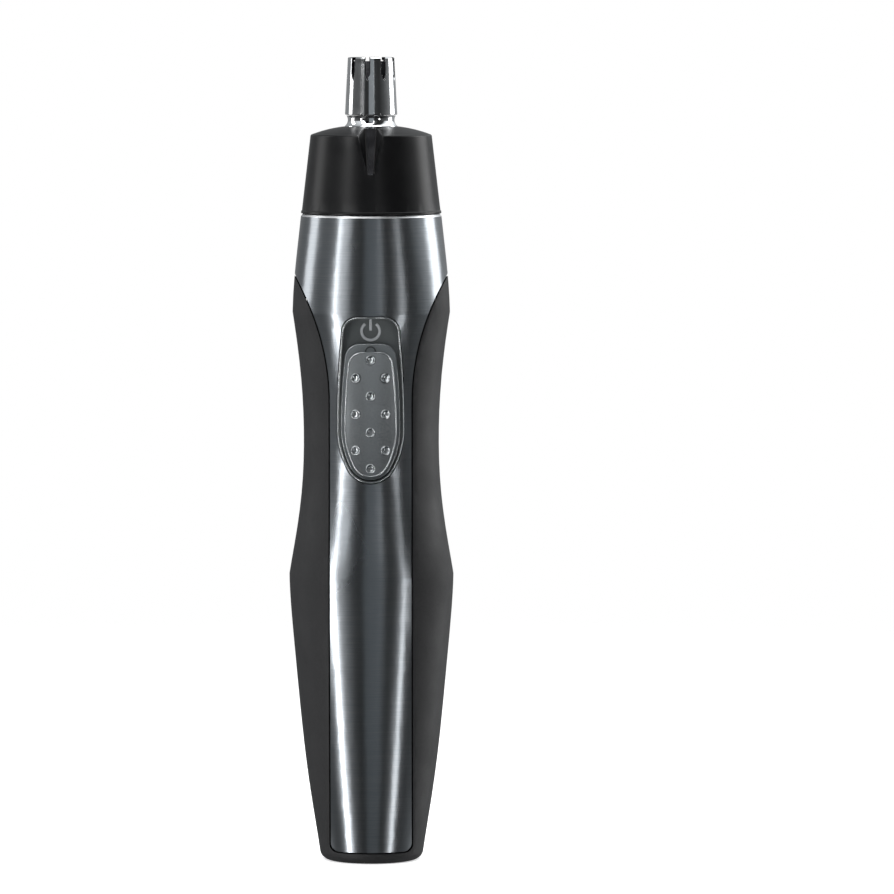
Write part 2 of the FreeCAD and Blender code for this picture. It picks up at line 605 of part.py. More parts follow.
def make_slider():
    back = "-recess_floor - slider_lift"
    skirt = prism("slider_skirt", badge_outline("slider", "0"), f"{back} - skirt_thickness", back)
    rise = common("slider_rise",
                  prism("slider_plateau", badge_outline("slider", "plateau_inset", "plateau_drop"), "-far",
                        f"{back} - skirt_thickness + 0.05"),
                  handle_form("slider_form", "-slider_proud"))
    dimples = []
    for index, (across, up) in enumerate(dimple_places()):
        ball = doc.addObject("Part::Sphere", f"dimple_{index}")
        bind(ball, Radius="dimple_radius * dimple_ball")
        surface = value("station_9_depth + slider_proud") * math.sqrt(1 - (across / value("station_9_width")) ** 2)
        ball.Placement = Placement(Vector(across,
                                          -surface - value("dimple_radius * dimple_ball - dimple_depth"), up),
                                   Rotation())
        dimples.append(ball)
    keep(cut("slider_cap_cut", fuse("slider_blank", skirt, rise), *dimples), "slider_cap")

    block_back = block("carriage_block", ("-carriage_half", "carriage_half"),
                       ("-recess_back + slider_lift", "-carriage_back"), ("stem_low - 0.8",
                                                                          "stem_high + 0.8"))
    stem = block("carriage_stem", ("-stem_half", "stem_half"), (back, "-carriage_back"),
                 ("stem_low", "stem_high"))
    keep(fuse("slider_carriage_fuse", block_back, stem), "slider_carriage")

    wipers = [block(f"wiper_{side}", (f"{side} * pad_x - pad_half / 2", f"{side} * pad_x + pad_half / 2"),
                    ("-carriage_back", "-wiper_back"), ("stem_low", "stem_high")) for side in (-1, 1)]
    bridge = block("wiper_bridge", ("-pad_x", "pad_x"), ("-carriage_back", "-carriage_back + 0.15"),
                   ("stem_high - 1", "stem_high"))
    keep(fuse("switch_wiper_fuse", *wipers, bridge), "switch_wiper")


def make_circuit():
    board = block("board", ("-board_half", "board_half"), ("-board_front", "-board_back"),
                  ("board_low", "board_high"))
    keep(board, "circuit_board")
    rows = [("pad_low", "pad_gap_low"), ("pad_gap_high", "pad_high")]
    pads = [block(f"pad_{side}_{row}", (f"{side} * pad_x - pad_half", f"{side} * pad_x + pad_half"),
                  ("-board_front - pad_depth", "-board_front"), (low, high))
            for side in (-1, 1) for row, (low, high) in enumerate(rows)]
    keep(fuse("switch_contact_set", *pads), "switch_contacts")
    keep(bar("inductor", "coil_radius", "-board_back", "-board_back + coil_depth", "coil_x", "coil_z"),
         "boost_coil")
    keep(block("chip", ("chip_x - chip_half", "chip_x + chip_half"),
               ("-board_back", "-board_back + chip_depth"),
               ("chip_z - chip_half", "chip_z + chip_half")), "driver_chip")
    keep(bar("capacitor", "can_radius", "-board_back", "-board_back + can_depth", "can_x", "can_z"),
         "smoothing_capacitor")


# ---- battery ----------------------------------------------------------------------------------

def make_battery():
    cell = turned("battery_cell_body", [
        ("0", "cell_low"), ("cell_radius - wrap - cell_shoulder", "cell_low"),
        ("cell_radius - wrap", "cell_low + cell_shoulder"), ("cell_radius - wrap",
                                                             "cell_high - cell_shoulder"),
        ("cell_radius - wrap - cell_shoulder", "cell_high"), ("0", "cell_high")])
    keep(cell, "battery_can")
    nub = turned("battery_nub_body", [
        ("0", "cell_high"), ("nub_flange", "cell_high"), ("nub_flange", "cell_high + nub_step"),
        ("nub_radius", "cell_high + nub_step"), ("nub_radius", "nub_top - nub_step"),
        ("nub_radius - nub_step", "nub_top"),
        ("0", "nub_top")])
    keep(nub, "battery_positive_cap")
    keep(tube("battery_wrap_tube", "cell_radius", "cell_radius - wrap", "cell_low + wrap_margin",
              "cell_high - wrap_margin"), "battery_wrap")

    plate = block("positive_plate", ("-contact_half", "contact_half"), ("-contact_half", "contact_half"),
                  ("nub_top + 0.02", "nub_top + contact_plate"))
    arm = block("positive_arm", ("-leg_far", "-leg_near"), ("-board_back + 0.02", "-contact_half"),
                ("nub_top + 0.02", "nub_top + contact_plate"))
    leg = block("positive_leg", ("-leg_far", "-leg_near"), ("-board_back + 0.02", "-board_back + 0.3"),
                ("nub_top + 0.02", "strip_top"))
    keep(fuse("positive_contact_fuse", plate, arm, leg), "positive_contact")
    keep(spring("negative_spring_coil", "spring_wire", "spring_foot", "spring_pitch", "spring_low",
                "cell_low - spring_wire",
                value("spring_cone")), "negative_spring")
    foot = drum("strip_foot", "spring_foot + 0.6", "spring_low - spring_wire - 0.4",
                "spring_low - spring_wire - 0.02")
    run = block("strip_run", ("-strip_half", "strip_half"), ("-strip_outer + 0.6", "-spring_foot"),
                ("spring_low - spring_wire - 0.4", "spring_low - spring_wire - 0.02"))
    riser_low = block("strip_riser_low", ("-strip_half", "strip_half"),
                      ("-strip_outer + 0.6", "-strip_inner + 0.6"),
                      ("spring_low - spring_wire - 0.4", "bay_low + 0.6"))
    step = block("strip_step", ("-strip_half", "strip_half"), ("-strip_outer", "-strip_inner + 0.6"),
                 ("bay_low - 0.1", "bay_low + 0.1"))
    riser = block("strip_riser", ("-strip_half", "strip_half"), ("-strip_outer", "-strip_inner"),
                  ("bay_low - 0.1", "board_low"))
    keep(fuse("contact_strip_fuse", foot, run, riser_low, step, riser), "contact_strip")


# ---- motor ------------------------------------------------------------------------------------

def make_motor():
    can = cut("motor_can_cut",
              fuse("motor_can_blank", motor_space("motor_body", "0", "motor_low", "motor_high"),
                   drum("motor_boss_drum", "motor_boss", "motor_high", "boss_top")),
              motor_space("motor_hollow", "-motor_wall", "motor_low", "motor_high - motor_wall"),
              drum("front_bearing_seat", "bearing_radius + 0.02", "motor_low", "boss_top"))
    keep(can, "motor_can")
    keep(cut("motor_cap_cut", motor_space("motor_cap", "0", "cap_low", "motor_low"),
             drum("rear_bearing_seat", "bearing_radius + 0.02", "cap_low", "motor_low")), "motor_end_cap")
    bearings = [tube("front_bearing", "bearing_radius", "shaft_radius + bearing_gap", "motor_high - 0.5",
                     "boss_top"),
                tube("rear_bearing", "bearing_radius", "shaft_radius + bearing_gap", "cap_low", "motor_low")]
    keep(fuse("bearing_pair", *bearings), "motor_bearings")
    shells = cut("magnet_shells",
                 motor_space("magnet_outer", "-motor_wall - 0.05", "magnet_low", "magnet_high"),
                 drum("magnet_bore", "magnet_inner", "magnet_low", "magnet_high"))
    sides = fuse("magnet_sides",
                 block("magnet_left", ("-far", "-magnet_side"), ("-magnet_half", "magnet_half"),
                       ("magnet_low", "magnet_high")),
                 block("magnet_right", ("magnet_side", "far"), ("-magnet_half", "magnet_half"),
                       ("magnet_low", "magnet_high")))
    keep(common("magnet_pair", shells, sides), "motor_magnets")

    brushes, blades, leads = [], [], []
    for side in (-1, 1):
        near, away = "commutator_radius + brush_gap", "commutator_radius + brush_gap + brush_out"
        across = (near, away) if side > 0 else (f"-({away})", f"-({near})")
        brushes.append(block(f"brush_{side}", across, ("-brush_half", "brush_half"),
                             ("motor_low", "commutator_high - 0.4")))
        blades.append(block(f"blade_{side}", (f"{side} * blade_x - blade_half",
                                              f"{side} * blade_x + blade_half"),
                            ("-blade_thick", "blade_thick"), ("blade_low", "cap_low")))
        leads.append(bar(f"lead_{side}", "lead_radius", "-board_back + 0.02", "-blade_thick - 0.02",
                         f"{side} * (blade_x - 0.4)", "blade_low + 0.8"))
    keep(fuse("brush_pair", *brushes), "motor_brushes")
    keep(fuse("blade_pair", *blades), "motor_terminals")
    keep(fuse("lead_pair", *leads), "motor_leads")
    keep(tube("damper", "damper_outer", "damper_inner", "motor_high + 0.03", "deck_low - 0.03"),
         "motor_damper")


def make_armature():
    keep(drum("shaft", "shaft_radius", "shaft_low", "shaft_high"), "motor_shaft")
    keep(tube("commutator_ring", "commutator_radius", "shaft_radius", "commutator_low", "commutator_high"),
         "commutator")
    shoes = tube("shoe_ring", "core_radius", "core_radius - shoe", "core_low", "core_high")
    gaps, arms, coils, arm_ways = [], [], [], []
    for pole in range(3):
        turn = 120 * pole
        gaps.append(block(f"shoe_gap_{pole}", ("0", "far"), ("-slot_gap_half", "slot_gap_half"),
                          ("core_low", "core_high"), turn + 60))
        arms.append(block(f"arm_{pole}", ("0", "core_radius - shoe / 2"), ("-arm_half", "arm_half"),
                          ("core_low", "core_high"), turn))
        coils.append(block(f"coil_{pole}", ("coil_inner", "coil_outer"), ("-coil_half", "coil_half"),
                           ("core_low - coil_over", "core_high + coil_over"), turn))
        arm_ways.append(block(f"arm_way_{pole}", ("0", "far"), ("-arm_half - 0.02", "arm_half + 0.02"),
                              ("core_low - 0.02", "core_high + 0.02"), turn))
    hub = drum("core_hub", "hub_radius", "core_low", "core_high")
    core = fuse("core_blank", cut("shoes", shoes, *gaps), hub, *arms)
    keep(cut("core_cut", core, drum("core_bore", "shaft_radius", "core_low", "core_high")), "armature_core")
    keep(cut("coil_cut", fuse("coil_set", *coils), *arm_ways), "armature_windings")

    hub_blank = drum("coupling_blank", "coupling_radius", "coupling_low", "coupling_high")
    keep(cut("coupling_cut", hub_blank, drum("coupling_bore", "shaft_radius", "coupling_low",
                                             "coupling_web - 0.1"),
             block("coupling_square", ("-socket_square", "socket_square"),
                   ("-socket_square", "socket_square"),
                   ("coupling_web", "coupling_high"))), "drive_coupling")


# ---- head socket and lamp ---------------------------------------------------------------------

def make_socket():
    cup = turned("socket_cup", [
        ("socket_hole", "socket_low"), ("socket_radius", "socket_low"), ("socket_radius", "socket_top"),
        ("socket_bore", "socket_top"), ("socket_bore", "socket_floor"), ("socket_hole", "socket_floor")])
    holes = [block("lamp_wire_hole", ("-wire_x - 0.3", "wire_x + 0.3"), ("lamp_y - 0.4", "lamp_y + 0.4"),
                   ("socket_low", "socket_floor"))]
    for side in (-1, 1):
        holes.append(drum(f"socket_screw_hole_{side}", "screw_shank + hole_slack", "socket_low",
                          "socket_floor",
                          x=f"{side} * socket_screw_x"))
    keep(cut("head_socket_cut", cup, *holes), "head_socket")
    dome = doc.addObject("Part::Sphere", "lamp_dome_ball")
    bind(dome, Radius="lamp_radius", Placement__Base__y="lamp_y", Placement__Base__z="lamp_dome")
    lamp = fuse("lamp", drum("lamp_body", "lamp_radius", "socket_floor + 0.03", "lamp_dome", y="lamp_y"),
                dome,
                drum("lamp_rim", "lamp_flange", "socket_floor + 0.03", "lamp_flange_top", y="lamp_y"))
    keep(lamp, "led_lamp")
    wires = [block(f"wire_{side}", (f"{side} * wire_x - wire_half", f"{side} * wire_x + wire_half"),
                   ("lamp_y - wire_half", "lamp_y + wire_half"), ("wire_bottom", "socket_floor"))
             for side in (-1, 1)]
    keep(fuse("wire_pair", *wires), "led_leads")


# ---- cutting head -----------------------------------------------------------------------------

def chute_section(name, height, back, half, mouth):
    """One end of the chute: narrow at the back, wide at the mouth in front."""
    sketch = doc.addObject("Sketcher::SketchObject", name)
    bind(sketch, Placement__Base__z=height)
    draw(sketch, [(f"-({mouth})", "-chute_front"), (mouth, "-chute_front"), (half, f"-({back})"),
                  (f"-({half})", f"-({back})")])
    return sketch


def chute(name, back_shift, half_shift):
    """The chute as a ruled loft, its walls moved out by the two shifts."""
    sections = [chute_section(f"{name}_top", "chute_top", f"chute_back_top - ({back_shift})",
                              f"chute_half_top + ({half_shift})", f"chute_mouth_top + ({half_shift})"),
                chute_section(f"{name}_bottom", "chute_bottom", f"chute_back_bottom - ({back_shift})",
                              f"chute_half_bottom + ({half_shift})", f"chute_mouth_bottom + ({half_shift})")]
    return ruled(name, sections)


def ruled(name, sections):
    loft = doc.addObject("Part::Loft", name)
    loft.Sections = sections
    loft.Solid = True
    loft.Ruled = True
    return loft


def make_head_housing():
    outside = [("head_radius", "head_low"), ("head_radius", "head_lip"),
               ("head_lip_radius", "head_lip + 0.15"),
               ("head_shoulder_radius", "head_shoulder", "shoulder_round"),
               ("head_crown_radius", "head_crown", "dome_arc"), ("neck_hole", "head_top")]
    form = turned("head_form", [("0", "head_low")] + outside + [("0", "head_top")])
    shell = turned("head_shell", [("head_bore", "head_low")] + outside + [
        ("neck_hole", "neck_seat"), ("hub_in", "neck_seat"), ("hub_in", "hub_low"), ("hub_out", "hub_low"),
        ("hub_out", "roof_z + 0.4"), ("roof_radius", "roof_z"), ("head_bore", "head_inner_z")])
    walls = common("chute_walls", chute("chute_outer", "chute_wall", "chute_wall"), form)
    window_blank = ruled("window_blank", [
        chute_section("window_top", "chute_top", "chute_back_top - chute_wall + 0.05", "window_half_top",
                      "window_half_top"),
        chute_section("window_bottom", "chute_bottom", "chute_back_bottom - chute_wall + 0.05",
                      "window_half_bottom", "window_half_bottom")])
    opening = chute("chute_opening", "0", "0")
    keep(cut("head_housing_cut", fuse("head_blank", shell, walls), opening, window_blank,
             drum("neck_way", "neck_hole", "neck_seat", "head_top + 1")), "head_housing")
    keep(cut("light_window_cut", common("window_in_head", window_blank, form), opening), "light_window")


def make_head_parts():
    keep(turned("head_ring_body", [
        ("ring_bore", "ring_low"), ("ring_radius", "ring_low"), ("ring_radius", "groove_low"),
        ("groove_radius", "groove_low"), ("groove_radius", "groove_high"), ("ring_radius", "groove_high"),
        ("ring_radius", "head_low + 0.05"), ("ring_flange", "head_low + 0.05"), ("ring_flange", "ring_top"),
        ("ring_bore", "ring_top")]), "head_base_ring")
    seal = doc.addObject("Part::Torus", "seal_torus")
    bind(seal, Radius1="seal_radius", Radius2="seal_section",
         Placement__Base__z="(groove_low + groove_high) / 2")
    keep(seal, "seal_ring")
    keep(turned("neck_body", [
        ("hub_in", "neck_seat + 0.03"), ("collar_radius", "neck_seat + 0.03"),
        ("collar_radius", "collar_foot", "-collar_arc"), ("collar_top_radius", "collar_top"),
        ("hub_in", "collar_top")]), "neck_collar")
    keep(turned("bushing_body", ring_profile("spindle_radius + spindle_gap", "hub_in - 0.02", "bushing_low",
                                             "bushing_high")), "head_bushing")


def make_guard():
    """The slotted guard: a tapered tube with slots open at the rim and V bottoms."""
    body = turned("guard_body", [
        ("barrel_bore", "barrel_low"), ("barrel_spigot", "barrel_low"), ("barrel_spigot", "barrel_step"),
        ("barrel_foot - 0.08", "barrel_step"), ("barrel_foot", "barrel_step + 0.12"),
        ("barrel_rim", "barrel_top - rim_bevel"), ("barrel_rim - rim_bevel", "barrel_top"),
        ("rim_bore", "barrel_top"), ("rim_bore", "barrel_top - rim_depth"),
        ("bore_high", "barrel_top - rim_depth"), ("bore_low", "barrel_floor"), ("barrel_bore",
                                                                                "barrel_floor - 0.2")])
    bottom = "barrel_top - tooth_depth"
    outline = mirrored([("0.02", f"{bottom} - tooth_vee"), ("tooth_slot", bottom),
                        ("tooth_slot", "barrel_top + 1")])
    sketch = body_sketch(body, "tooth_slot_sketch", [outline], "XZ_Plane")
    doc.recompute()
    slot = body.newObject("PartDesign::Pocket", "tooth_slot_pocket")
    slot.Profile = sketch
    slot.Length = value("barrel_foot + 1")
    slot.Reversed = True
    polar(body, slot, "tooth_count")
    bind(body, Placement__Rotation__Angle="tooth_turn")
    keep(body, "guard_barrel")


def make_cutter():
    rotor = doc.addObject("PartDesign::Body", "rotor_body")
    sketch = body_sketch(rotor, "rotor_profile", [[
        ("spindle_radius + 0.02", "rotor_low"), ("rotor_radius", "rotor_low"), ("rotor_radius", "rotor_disc"),
        ("rotor_hub", "rotor_disc"), ("rotor_hub", "rotor_top"), ("rotor_hub - 0.25", "rotor_top"),
        ("spindle_radius + 0.02", "spindle_top")]], "XZ_Plane")
    core = rotor.newObject("PartDesign::Revolution", "rotor_turn")
    core.Profile = sketch
    core.ReferenceAxis = (sketch, ["V_Axis"])
    core.Angle = 360
    fin = pad(rotor, "rotor_fin", [rectangle(("rotor_hub - 0.2", "rotor_radius"), ("-fin_half", "fin_half"))],
              "rotor_disc - 0.1", "rotor_top")
    polar(rotor, fin, "fin_count")
    keep(rotor, "cutter_rotor")

    rod = turned("spindle_rod", [
        ("0", "flange_low - 0.1"), ("shank_square", "flange_low - 0.1"), ("shank_square", "flange_low"),
        ("flange_radius", "flange_low"), ("flange_radius", "flange_top"), ("spindle_radius", "flange_top"),
        ("spindle_radius", "spindle_top"), ("0", "spindle_top")])
    shank = block("spindle_shank", ("-shank_square", "shank_square"), ("-shank_square", "shank_square"),
                  ("shank_low", "flange_low"))
    keep(fuse("spindle_fuse", rod, shank), "cutter_spindle")
    keep(cut("clip_cut", tube("clip_ring", "clip_radius", "spindle_radius + 0.01", "clip_low", "clip_high"),
             block("clip_mouth_block", ("0", "far"), ("-clip_mouth", "clip_mouth"),
                   ("clip_low", "clip_high"))),
         "retaining_clip")
    keep(spring("spindle_spring_coil", "coil_spring_wire", "coil_spring_radius", "coil_spring_pitch",
                "coil_spring_low", "coil_spring_high"), "spindle_spring")


def make_all():
    outer, skin = make_skins()
    make_door(skin)
    make_chassis()
    make_screws()
    make_bezel(outer)
    make_slider()
    make_circuit()
    make_battery()
    make_motor()
    make_armature()
    make_socket()
    make_head_housing()
    make_head_parts()
    make_guard()
    make_cutter()


def write_parts():
    """Refuse failed or invalid objects, then write one STEP file for each sub-part."""
    doc.recompute()
    for item in doc.Objects:
        if "Invalid" in item.State or "Error" in item.State:
            raise RuntimeError(f"{item.Name} failed: {item.State}")
    for node in nodes:
        if node.Shape.isNull() or not node.Shape.isValid():
            raise RuntimeError(f"{node.Label} has no valid shape")
    os.makedirs("parts", exist_ok=True)
    for node in nodes:
        node.Shape.exportStep(f"parts/{node.Label}.step")


make_all()
write_parts()
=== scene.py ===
import json
import math

import bmesh
import bpy
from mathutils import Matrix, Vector
from mathutils.bvhtree import BVHTree


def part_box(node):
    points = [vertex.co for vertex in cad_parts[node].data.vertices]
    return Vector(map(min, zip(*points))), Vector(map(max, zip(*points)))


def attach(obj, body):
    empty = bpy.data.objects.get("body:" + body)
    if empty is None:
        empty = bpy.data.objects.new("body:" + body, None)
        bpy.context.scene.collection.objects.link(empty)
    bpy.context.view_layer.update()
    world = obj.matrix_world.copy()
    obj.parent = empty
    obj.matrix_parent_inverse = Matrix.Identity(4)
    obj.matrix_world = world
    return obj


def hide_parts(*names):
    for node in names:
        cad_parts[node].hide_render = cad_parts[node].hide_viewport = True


# Nose hair trimmer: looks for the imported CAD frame. Blender works in metres; sizes below are in
# millimetres and pass through MM. Front is -Y, up is +Z.
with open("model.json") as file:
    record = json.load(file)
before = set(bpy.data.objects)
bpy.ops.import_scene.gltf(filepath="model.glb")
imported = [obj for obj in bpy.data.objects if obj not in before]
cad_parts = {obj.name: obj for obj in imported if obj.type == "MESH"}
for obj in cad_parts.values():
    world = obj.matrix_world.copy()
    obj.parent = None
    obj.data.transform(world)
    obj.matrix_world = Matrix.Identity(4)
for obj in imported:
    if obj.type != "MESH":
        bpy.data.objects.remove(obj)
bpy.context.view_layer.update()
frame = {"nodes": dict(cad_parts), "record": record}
NODES = frame["nodes"]
MM = 0.001


# ---- camera, light and stage ------------------------------------------------------------------

CAMERA_PLACE = (12.7, -1090.0, 146.0)
CAMERA_PITCH = 4.012
CAMERA_FIELD = 7.86
AIM_HEIGHT = 0.07


def make_camera():
    data = bpy.data.cameras.new("camera")
    data.sensor_width = 36.0
    data.lens = data.sensor_width / (2 * math.tan(math.radians(CAMERA_FIELD / 2)))
    data.clip_start = 0.05
    data.clip_end = 50.0
    camera = bpy.data.objects.new("camera", data)
    camera.location = Vector(CAMERA_PLACE) * MM
    camera.rotation_euler = (math.radians(90 - CAMERA_PITCH), 0, 0)
    bpy.context.scene.collection.objects.link(camera)
    bpy.context.scene.camera = camera


def softbox(name, azimuth, distance, height, width, tall, power, colour=(1, 1, 1)):
    """An area light that faces the handle; azimuth 0 is in front and positive is to the right."""
    data = bpy.data.lights.new(name, "AREA")
    data.shape = "RECTANGLE"
    data.size = width
    data.size_y = tall
    data.energy = power
    data.color = colour
    lamp = bpy.data.objects.new(name, data)
    turn = math.radians(azimuth)
    lamp.location = (distance * math.sin(turn), -distance * math.cos(turn), height)
    aim = Vector((0, 0, AIM_HEIGHT)) - lamp.location
    lamp.rotation_euler = aim.to_track_quat("-Z", "Y").to_euler()
    bpy.context.scene.collection.objects.link(lamp)


def make_lights():
    softbox("strip_left_low", -50, 0.75, -0.3, 0.08, 0.8, 3.6)
    softbox("strip_left_high", -41, 0.75, 0.58, 0.22, 0.8, 3.0)
    softbox("strip_right_low", 43, 0.75, -0.38, 0.07, 0.75, 1.5)
    softbox("strip_right_high", 14, 0.75, 0.55, 0.06, 0.7, 0.5)
    softbox("panel_front", 3, 1.7, 0.1, 0.75, 2.2, 1.3, (0.86, 0.94, 1.0))
    softbox("wall_left", -104, 0.8, 0.25, 0.3, 0.9, 2.4)
    softbox("wall_right", 112, 0.75, 0.2, 0.35, 1.0, 4.6)
    softbox("top_front", -10, 0.45, 0.75, 0.3, 0.2, 0.8)
    softbox("top", 180, 0.12, 0.75, 0.5, 0.5, 2.0)


# Brightness of the studio walls by azimuth in degrees, at eye level and below, and above it.
LOW_WALLS = ((-180, 0.3), (-120, 0.25), (-80, 0.1), (-40, 0.03), (40, 0.03), (80, 0.12), (120, 0.4),
             (180, 0.3))
HIGH_WALLS = ((-180, 0.3), (-110, 0.45), (-60, 0.8), (-32, 1.3), (-28, 0.0), (-10, 0.01), (8, 0.1), (24, 0.1),
              (34, 0.02), (64, 0.04), (84, 1.3), (100, 1.8), (140, 1.2), (180, 0.3))


# A curve point goes from 0 to 1, so brightness is divided by this going in and multiplied coming out.
WALL_SCALE = 2.0


def wall_curve(tree, turn, walls):
    """The brightness of the walls as a curve over the azimuth."""
    node = tree.nodes.new("ShaderNodeFloatCurve")
    curve = node.mapping.curves[0]
    node.mapping.use_clip = False
    for azimuth, strength in walls[1:-1]:
        curve.points.new((azimuth + 180) / 360, strength / WALL_SCALE)
    curve.points[0].location = (0, walls[0][1] / WALL_SCALE)
    curve.points[-1].location = (1, walls[-1][1] / WALL_SCALE)
    for point in curve.points:
        point.handle_type = "VECTOR"
    node.mapping.update()
    tree.links.new(turn.outputs["Result"], node.inputs["Value"])
    scaled = tree.nodes.new("ShaderNodeMath")
    scaled.operation = "MULTIPLY"
    scaled.inputs[1].default_value = WALL_SCALE
    tree.links.new(node.outputs["Value"], scaled.inputs[0])
    return scaled.outputs[0]


def make_world():
    """White to the camera; to the object, a studio of pale walls at the sides and dark ones in front."""
    world = bpy.data.worlds.new("studio")
    bpy.context.scene.world = world
    world.use_nodes = True
    tree = world.node_tree
    tree.nodes.clear()
    output = tree.nodes.new("ShaderNodeOutputWorld")
    mix = tree.nodes.new("ShaderNodeMixShader")
    path = tree.nodes.new("ShaderNodeLightPath")
    seen = tree.nodes.new("ShaderNodeBackground")
    room = tree.nodes.new("ShaderNodeBackground")
    place = tree.nodes.new("ShaderNodeTexCoord")
    split = tree.nodes.new("ShaderNodeSeparateXYZ")
    seen.inputs["Color"].default_value = (1, 1, 1, 1)
    seen.inputs["Strength"].default_value = 1.0
    room.inputs["Color"].default_value = (0.95, 0.98, 1, 1)
    link = tree.links.new
    link(place.outputs["Generated"], split.inputs[0])
    back = tree.nodes.new("ShaderNodeMath")
    back.operation = "MULTIPLY"
    back.inputs[1].default_value = -1.0
    link(split.outputs["Y"], back.inputs[0])
    azimuth = tree.nodes.new("ShaderNodeMath")
    azimuth.operation = "ARCTAN2"
    link(split.outputs["X"], azimuth.inputs[0])
    link(back.outputs[0], azimuth.inputs[1])
    turn = tree.nodes.new("ShaderNodeMapRange")
    turn.inputs["From Min"].default_value = -math.pi
    turn.inputs["From Max"].default_value = math.pi
    link(azimuth.outputs[0], turn.inputs["Value"])
    height = tree.nodes.new("ShaderNodeMapRange")
    height.interpolation_type = "SMOOTHSTEP"
    height.inputs["From Min"].default_value = 0.06
    height.inputs["From Max"].default_value = 0.2
    link(split.outputs["Z"], height.inputs["Value"])
    walls = tree.nodes.new("ShaderNodeMix")
    link(height.outputs["Result"], walls.inputs["Factor"])
    link(wall_curve(tree, turn, LOW_WALLS), walls.inputs["A"])
    link(wall_curve(tree, turn, HIGH_WALLS), walls.inputs["B"])
    link(walls.outputs["Result"], room.inputs["Strength"])
    link(path.outputs["Is Camera Ray"], mix.inputs[0])
    link(room.outputs[0], mix.inputs[1])
    link(seen.outputs[0], mix.inputs[2])
    link(mix.outputs[0], output.inputs["Surface"])


def make_floor():
    """A round pale floor that fades into the white round it."""
    mesh = bpy.data.meshes.new("floor")
    form = bmesh.new()
    bmesh.ops.create_circle(form, cap_ends=True, segments=96, radius=0.6)
    form.to_mesh(mesh)
    form.free()
    floor = bpy.data.objects.new("floor", mesh)
    bpy.context.scene.collection.objects.link(floor)
    floor.visible_glossy = False
    floor.visible_shadow = False
    material = bpy.data.materials.new("floor")
    material.use_nodes = True
    tree = material.node_tree
    tree.nodes.clear()
    output = tree.nodes.new("ShaderNodeOutputMaterial")
    mix = tree.nodes.new("ShaderNodeMixShader")
    pale = tree.nodes.new("ShaderNodeBsdfDiffuse")
    lift = tree.nodes.new("ShaderNodeEmission")
    both = tree.nodes.new("ShaderNodeAddShader")
    lift.inputs["Strength"].default_value = 0.5
    clear = tree.nodes.new("ShaderNodeBsdfTransparent")
    place = tree.nodes.new("ShaderNodeTexCoord")
    length = tree.nodes.new("ShaderNodeVectorMath")
    fade = tree.nodes.new("ShaderNodeMapRange")
    length.operation = "LENGTH"
    fade.interpolation_type = "SMOOTHSTEP"
    fade.inputs["From Min"].default_value = 0.06
    fade.inputs["From Max"].default_value = 0.42
    pale.inputs["Color"].default_value = (0.93, 0.93, 0.93, 1)
    link = tree.links.new
    link(place.outputs["Object"], length.inputs[0])
    link(length.outputs["Value"], fade.inputs["Value"])
    link(fade.outputs["Result"], mix.inputs[0])
    link(pale.outputs[0], both.inputs[0])
    link(lift.outputs[0], both.inputs[1])
    link(both.outputs[0], mix.inputs[1])
    link(clear.outputs[0], mix.inputs[2])
    link(mix.outputs[0], output.inputs["Surface"])
    mesh.materials.append(material)


# ---- materials --------------------------------------------------------------------------------

# How far below the top of the steel sleeve the bright chamfer band starts, in millimetres: partly a polished
# chamfer, partly a painted highlight.
LIP_HEIGHT = 0.36


class Graph:
    """Short calls for building one material's nodes."""

    def __init__(self, name):
        self.material = bpy.data.materials.new(name)
        self.material.use_nodes = True
        self.tree = self.material.node_tree
        self.shader = self.tree.nodes["Principled BSDF"]
        self.place = self.tree.nodes.new("ShaderNodeTexCoord")

    def link(self, source, target):
        self.tree.links.new(source, target)

    def noise(self, scale, detail=3.0, stretch=(1, 1, 1), rough=0.55):
        """Noise over the object's own coordinates; stretch multiplies the scale on each axis."""
        mapping = self.tree.nodes.new("ShaderNodeMapping")
        mapping.inputs["Scale"].default_value = stretch
        texture = self.tree.nodes.new("ShaderNodeTexNoise")
        texture.inputs["Scale"].default_value = scale
        texture.inputs["Detail"].default_value = detail
        texture.inputs["Roughness"].default_value = rough
        self.link(self.place.outputs["Object"], mapping.inputs["Vector"])
        self.link(mapping.outputs["Vector"], texture.inputs["Vector"])
        return texture.outputs["Fac"]

    def level(self, source, low, high, start=0.3, end=0.7):
        """Map a value between start and end onto low to high."""
        node = self.tree.nodes.new("ShaderNodeMapRange")
        node.inputs["From Min"].default_value = start
        node.inputs["From Max"].default_value = end
        node.inputs["To Min"].default_value = low
        node.inputs["To Max"].default_value = high
        self.link(source, node.inputs["Value"])
        return node.outputs["Result"]

    def blend(self, factor, dark, light):
        """A colour between two, by factor."""
        node = self.tree.nodes.new("ShaderNodeMix")
        node.data_type = "RGBA"
        colours = [socket for socket in node.inputs if socket.type == "RGBA"]
        for socket, colour in zip(colours, (dark, light)):
            if isinstance(colour, tuple):
                socket.default_value = (*colour, 1)
            else:
                self.link(colour, socket)
        self.link(factor, node.inputs["Factor"])
        return next(socket for socket in node.outputs if socket.type == "RGBA")

    def bump(self, source, strength, distance):
        node = self.tree.nodes.new("ShaderNodeBump")
        node.inputs["Strength"].default_value = strength
        node.inputs["Distance"].default_value = distance * MM
        self.link(source, node.inputs["Height"])
        self.link(node.outputs["Normal"], self.shader.inputs["Normal"])

    def set(self, **values):
        for key, value in values.items():
            self.shader.inputs[key.replace("_", " ")].default_value = value

    def axis(self, name):
        """One of the object's coordinates, in metres."""
        split = self.tree.nodes.new("ShaderNodeSeparateXYZ")
        self.link(self.place.outputs["Object"], split.inputs[0])
        return split.outputs[name]


